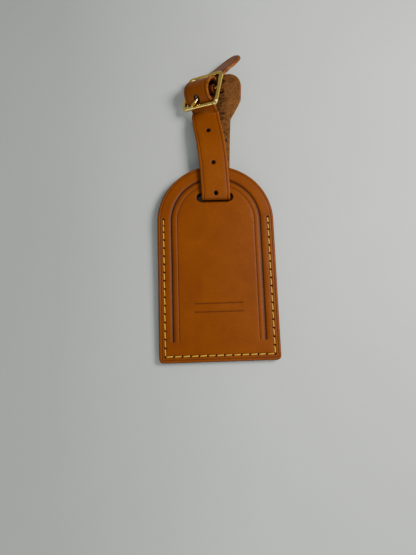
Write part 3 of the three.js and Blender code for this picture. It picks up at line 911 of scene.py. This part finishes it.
def strap_flesh_relief(u, v):
    """A rough face with slanting wrinkles on the pad, fading out where the pad narrows."""
    rough = np.random.default_rng(7).uniform(-FLESH_ROUGHNESS, FLESH_ROUGHNESS, len(u))
    fade = smooth_step((WRINKLE_END - u) / WRINKLE_FADE)
    wrinkles = WRINKLE_DEPTH * np.sin(0.9 * u + 0.55 * v) * fade
    edge = rounded_edge(strap_inset(u, v), 0.2, 0.5)
    return edge + rough + PAD_MARK_DEPTH * pad_mark(u, v) + wrinkles


def strap_painted_shade(u, v):
    """Painted shade in the edge creases and round the rims of the holes."""
    hole_rim_shade = 0.95 * smooth_step(1 - hole_distance(u, v) / 0.3)
    return np.clip(0.75 * strap_crease(u, v) + hole_rim_shade, 0, 1)


def strap_flesh_pits_and_shade(u, v):
    """Dark pits, more beyond the pad; the dent; painted shade on the pad's left, by the raised
    buckle.
    """
    pits = np.random.default_rng(11).uniform(0, 1, len(u)) ** 2
    arm = smooth_step((u - 20) / 6)
    # painted shade on the pad's left side, beside the raised buckle and front arm; it also deepens
    # the pits there
    pad_painted_shade = smooth_step((u - 8) / 8) * smooth_step((8 - v) / 8) * (1 - 0.6 * arm)
    pitted = (0.35 + 0.5 * pad_painted_shade + 0.55 * arm) * pits
    return np.clip(pitted + 0.45 * pad_painted_shade + 0.5 * pad_mark(u, v), 0, 1)


def strap_points():
    points = []
    for u in np.arange(0.4, strap_band.length, 0.75):
        half = float(strap_half_width(u))
        insets = [0.1, 0.25, 0.45, 0.8, 1.15, 1.3, 1.45, 1.6, 1.8]
        columns = [half - inset for inset in insets if inset < half]
        columns += list(np.arange(0.7, half - 2.2, 1.3))
        points += [(u, s * column) for s in (-1, 1) for column in columns]
    for radius in (0.85, 1, 1.2, 1.4, 1.55):
        points += circle(*PAD_MARK, radius, 24)
    for u, v, width, length in STRAP_HOLES:
        for grow in (0.12, 0.3, 0.55):
            points += stadium(u, v, width + 2 * grow, length + 2 * grow, 32)
    return points


def strap_outline():
    distances = list(np.arange(0.6, strap_band.length - 1.2, 0.6))
    distances = [0, 0.1, 0.3] + distances
    distances += [strap_band.length - gap for gap in (1.1, 0.9, 0.7, 0.5, 0.3, 0.15, 0.05)]
    right = [(u, float(strap_half_width(u))) for u in distances]
    left = [(u, -half) for u, half in right]
    return left + [(strap_band.length, 0)] + right[::-1]


strap = leather_piece(
    "strap_detailed", "strap", strap_leather,
    [strap_outline()] + [stadium(*hole, 32) for hole in STRAP_HOLES], strap_points(), strap_inset,
    strap_band.place, STRAP_THICKNESS / 2, -STRAP_THICKNESS / 2, strap_relief, strap_flesh_relief,
    strap_painted_shade, strap_flesh_pits_and_shade, flesh=(0, 1))
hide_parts("strap")

# ---------------------------------------------------------------- the chape

def at_pad(distance, above):
    """A place at one of the pad's slits: above the pad is positive, below it negative."""
    return strap_band.place(
        np.array([distance]), np.array([SLIT_OFFSET]), np.array([-float(above)]))[0]


def chape_band():
    """The chape's middle line, from one of its ends under the pad round to the other."""
    far, near = SLIT_DISTANCES
    wrap = CENTRE_BAR_RADIUS + GAP + CHAPE_THICKNESS / 2
    under = -STRAP_THICKNESS / 2 - GAP - CHAPE_THICKNESS / 2
    pad_across = strap_band.across[np.searchsorted(strap_band.distance, (far + near) / 2)]

    def at_bar(along, out):
        return at_buckle(CHAPE_OFFSET, along, out)

    places = [
        (at_pad((far + near) / 2 - 0.1, under), 0), (at_pad(far + 1, under), 0),
        (at_pad(far, -1), 0), (at_pad(far, 0.6), 0), (at_bar(6.6, -4.4), 0.5),
        (at_bar(2.9, -1.2), 0.9), (at_bar(0.75 * wrap, 0.7 * wrap), 1), (at_bar(0, wrap), 1),
        (at_bar(-0.75 * wrap, 0.7 * wrap), 1), (at_bar(-wrap, 0), 1),
        (at_bar(-0.7 * wrap, -0.75 * wrap), 1), (at_pad(near, 1.4), 0), (at_pad(near, 0.2), 0),
        (at_pad(near, -1), 0), (at_pad(near - 1, under), 0),
        (at_pad((far + near) / 2 + 0.1, under), 0),
    ]
    points = [point for point, _ in places]
    across = [pad_across + turned * (BUCKLE_ACROSS - pad_across) for _, turned in places]
    return Band(points, across)


chape_line = chape_band()
NOTCH_LENGTH = 7.5
# the opening for the prong: its place along and across the chape, its width and its length
NOTCH = (chape_line.distance_to(at_buckle(CHAPE_OFFSET, -1, 1.6)),
         PRONG_OFFSET - 2 * GAP - CHAPE_OFFSET, PRONG_EYE_WIDTH + 6 * GAP, NOTCH_LENGTH)


def chape_outer_inset(u, v):
    return np.minimum(CHAPE_WIDTH / 2 - np.abs(v), np.minimum(u, chape_line.length - u))


def chape_inset(u, v):
    return np.minimum(chape_outer_inset(u, v), stadium_distance(u, v, *NOTCH))


def chape_relief(u, v):
    return rounded_edge(chape_inset(u, v), 0.25, 0.5)


def chape_outline():
    half = CHAPE_WIDTH / 2
    rows = np.linspace(0, chape_line.length, 60)
    left = [(u, -half) for u in rows]
    return left + [(u, half) for u in rows[::-1]]


chape_points = [(u, v) for u in np.arange(0.3, chape_line.length, 0.5)
                for v in (-4.5, -4.3, -4.0, -3, -2, -1, 0, 1, 2, 3, 4.0, 4.3, 4.5)]
chape = leather_piece(
    "chape_detailed", "strap", chape_leather, [chape_outline(), stadium(*NOTCH, 28)],
    chape_points, chape_inset, chape_line.place, CHAPE_THICKNESS / 2, -CHAPE_THICKNESS / 2,
    chape_relief, chape_relief, no_darkness, no_darkness, flesh=(1, 0))
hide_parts("buckle_chape")

# ---------------------------------------------------------------- the buckle

def rounded_rectangle_path(width, length, radius, per_corner=14, per_side=10):
    """Centre line of a rounded rectangle and its outward direction at each point."""
    points, outward = [], []
    for corner in range(4):
        start = corner * math.pi / 2
        middle = start + math.pi / 4
        centre = np.array([math.copysign(width / 2 - radius, math.cos(middle)),
                           math.copysign(length / 2 - radius, math.sin(middle))])
        directions = [np.array([math.cos(a), math.sin(a)])
                      for a in np.linspace(start, start + math.pi / 2, per_corner)]
        points += [centre + radius * direction for direction in directions]
        outward += directions
        after = start + 3 * math.pi / 4
        next_centre = np.array([math.copysign(width / 2 - radius, math.cos(after)),
                                math.copysign(length / 2 - radius, math.sin(after))])
        side_end = next_centre + radius * directions[-1]
        side_start = points[-1]
        for share in np.linspace(0, 1, per_side + 1)[1:-1]:
            points.append(side_start + share * (side_end - side_start))
            outward.append(directions[-1])
    return np.array(points), np.array(outward)


def from_buckle(points):
    """Places drawn round the middle of the centre bar, as places in the tag's directions."""
    points = np.asarray(points, float)
    basis = np.stack([BUCKLE_ACROSS, BUCKLE_ALONG, BUCKLE_OUT])
    return BUCKLE_CENTRE + points @ basis


def flat_tube(path, across, half_width, half_height, closed=False, power=5.0, sides=20):
    """A tube whose path and directions lie in the buckle's own plane."""
    out = np.tile([0.0, 0.0, 1.0], (len(path), 1))
    return tube(path, across, out, np.full(len(path), half_width), np.full(len(path), half_height),
                sides, power, closed)


def buckle_frame():
    line, outward = rounded_rectangle_path(
        FRAME_WIDTH - FRAME_BAR, FRAME_LENGTH - FRAME_BAR, FRAME_CORNER_RADIUS - FRAME_BAR / 2)
    flat = np.zeros((len(line), 1))
    rim = flat_tube(np.hstack([line, flat]), np.hstack([outward, flat]), FRAME_BAR / 2,
                    FRAME_THICKNESS / 2, closed=True, power=FRAME_SQUARENESS)
    reach = FRAME_WIDTH / 2 - FRAME_BAR / 2
    x = np.linspace(-reach, reach, 24)
    path = np.stack([x, 0 * x, 0 * x], axis=-1)
    across = np.tile([0.0, 1.0, 0.0], (len(path), 1))
    swell = CENTRE_BAR_RADIUS * (1 + 0.04 * smooth_step((np.abs(x) - reach + 2) / 2))
    out = np.tile([0.0, 0.0, 1.0], (len(path), 1))
    bar = tube(path, across, out, swell, swell, 24)
    points, faces = joined([rim, bar])
    piece = new_piece("buckle_frame_polished", from_buckle(points), faces, "buckle",
                      brass_polished)
    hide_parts("buckle_frame")


def buckle_prong():
    bore = CENTRE_BAR_RADIUS + GAP
    ring_radius = bore + PRONG_EYE_WALL / 2
    angles = np.linspace(0, 2 * math.pi, 48, endpoint=False)
    x = np.full_like(angles, PRONG_OFFSET)
    path = np.stack([x, ring_radius * np.cos(angles), ring_radius * np.sin(angles)], axis=-1)
    outward = np.stack([0 * x, np.cos(angles), np.sin(angles)], axis=-1)
    sideways = np.tile([1.0, 0.0, 0.0], (len(path), 1))
    eye = tube(path, outward, sideways, np.full(len(path), PRONG_EYE_WALL / 2),
               np.full(len(path), PRONG_EYE_WIDTH / 2), 16, 3.0, closed=True)
    on_bar = FRAME_THICKNESS / 2 + GAP + PRONG_THICKNESS / 2
    shank = [(-bore - 0.3, 0.9), (-4.5, 1.4), (-8, on_bar - 0.1),
             (-FRAME_LENGTH / 2 + FRAME_BAR, on_bar), (-FRAME_LENGTH / 2 + 0.2, on_bar - 0.05)]
    line = catmull_rom([(PRONG_OFFSET + PRONG_SKEW * y, y, z) for y, z in shank])[::4]
    along = np.gradient(line, axis=0)
    along /= np.linalg.norm(along, axis=1, keepdims=True)
    across = np.array([1.0, 0, 0]) - along * along[:, :1]
    across /= np.linalg.norm(across, axis=1, keepdims=True)
    from_end = np.linspace(1, 0, len(line))
    round_end = np.sqrt(1 - (1 - np.clip(from_end / 0.12, 0.05, 1)) ** 2)
    taper = (0.8 + 0.2 * smooth_step(from_end / 0.5)) * round_end
    rod = tube(line, across, np.cross(across, along), PRONG_WIDTH / 2 * taper,
               PRONG_THICKNESS / 2 * round_end, 20, 2.6)
    points, faces = joined([eye, rod])
    piece = new_piece("buckle_prong_polished", from_buckle(points), faces, "prong",
                      brass_polished)
    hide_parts("buckle_prong")


buckle_frame()
buckle_prong()

# ---------------------------------------------------------------- the card

id_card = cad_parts["id_card"]
id_card.data.materials.clear()
id_card.data.materials.append(card_stock())

# ---------------------------------------------------------------- table, light and camera

TABLE_SIZE = 3.0
TABLE_DROP = 0.0001  # keeps the table clear of what lies on it
bpy.ops.mesh.primitive_plane_add(size=TABLE_SIZE, location=(0, 0, -TABLE_DROP))
table = bpy.context.object
table.name = "table"
table.data.materials.append(table_top())


def area_light(name, location, target, size, power, colour):
    data = bpy.data.lights.new(name, "AREA")
    data.shape = "DISK"
    data.size = size
    data.energy = power
    data.color = colour
    light = bpy.data.objects.new(name, data)
    bpy.context.scene.collection.objects.link(light)
    light.location = location
    light.rotation_mode = "QUATERNION"
    light.rotation_quaternion = (Vector(target) - Vector(location)).to_track_quat("-Z", "Y")


area_light("key_light", (0.3, 0.05, 0.34), (0, 0, 0), 0.22, 2.45, (1.0, 0.98, 0.95))
area_light("fill_light", (0.05, -0.6, 0.28), (0, 0.04, 0), 0.5, 1.6, (0.95, 0.98, 1.0))
area_light("rim_light", (-0.5, -0.26, 0.14), (0, 0.06, 0.01), 0.16, 0.4, (1.0, 0.99, 0.96))

WORLD_COLOUR = (0.85, 0.9, 0.95, 1)
WORLD_STRENGTH = 0.34

world = bpy.data.worlds.new("studio")
world.use_nodes = True
background = world.node_tree.nodes["Background"].inputs
background["Color"].default_value = WORLD_COLOUR
background["Strength"].default_value = WORLD_STRENGTH
bpy.context.scene.world = world

CAMERA_PLACE = (-8.27, 3.62, 228.94)
CAMERA_RIGHT = (0.9995, -0.0323, 0.0074)
CAMERA_UP = (0.0304, 0.9827, 0.1829)
CAMERA_LENS = 27.04

camera_data = bpy.data.cameras.new("camera")
camera_data.lens = CAMERA_LENS
camera_data.clip_start = 0.01
camera = bpy.data.objects.new("camera", camera_data)
bpy.context.scene.collection.objects.link(camera)
right = Vector(CAMERA_RIGHT).normalized()
up = (Vector(CAMERA_UP) - right * right.dot(Vector(CAMERA_UP))).normalized()
turn = Matrix((right, up, right.cross(up))).transposed()
camera.matrix_world = Matrix.Translation(Vector(to_frame(CAMERA_PLACE))) @ turn.to_4x4()
bpy.context.scene.camera = camera
